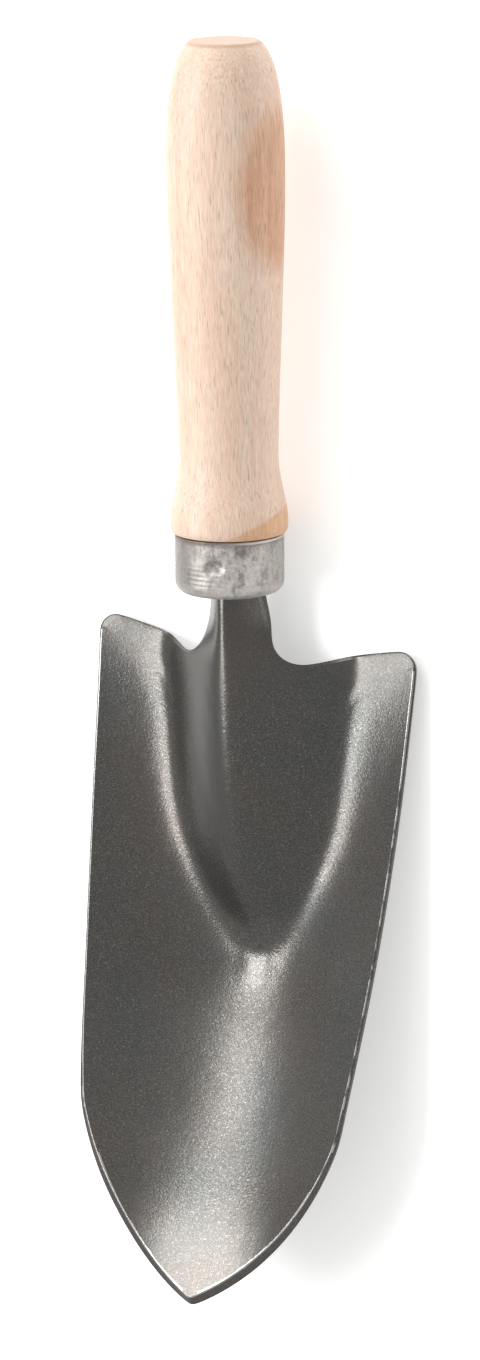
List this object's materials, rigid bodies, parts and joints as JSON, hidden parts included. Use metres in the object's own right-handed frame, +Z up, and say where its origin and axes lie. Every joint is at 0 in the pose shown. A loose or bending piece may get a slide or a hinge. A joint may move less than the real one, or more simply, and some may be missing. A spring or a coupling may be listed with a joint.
{
  "type": "garden trowel",
  "caption": "Hand trowel with a pressed steel scoop blade, square shoulders and a raised central ridge, its folded neck held in a ferrule on a turned wooden handle.",
  "frame": {"origin": "centre of the bounding box's underside, with the tool lying on the back of its blade as it rests on a bench", "axes": "+Y along the tool towards the handle's butt, +Z up out of the blade's hollow, +X across the blade; the handle's own axis is raised about 2.5 degrees from +Y"},
  "size_m": [0.0926, 0.3128, 0.0344],
  "materials": {
    "painted_steel": "hammered-looking dark grey metallic paint, satin",
    "zinc": "bright mottled zinc with drawing marks",
    "beech": "smooth sanded beech under a thin clear coat"
  },
  "bodies": {
    "root": {"blade": "painted_steel", "ferrule": "zinc", "handle": "beech"}
  },
  "joints": []
}
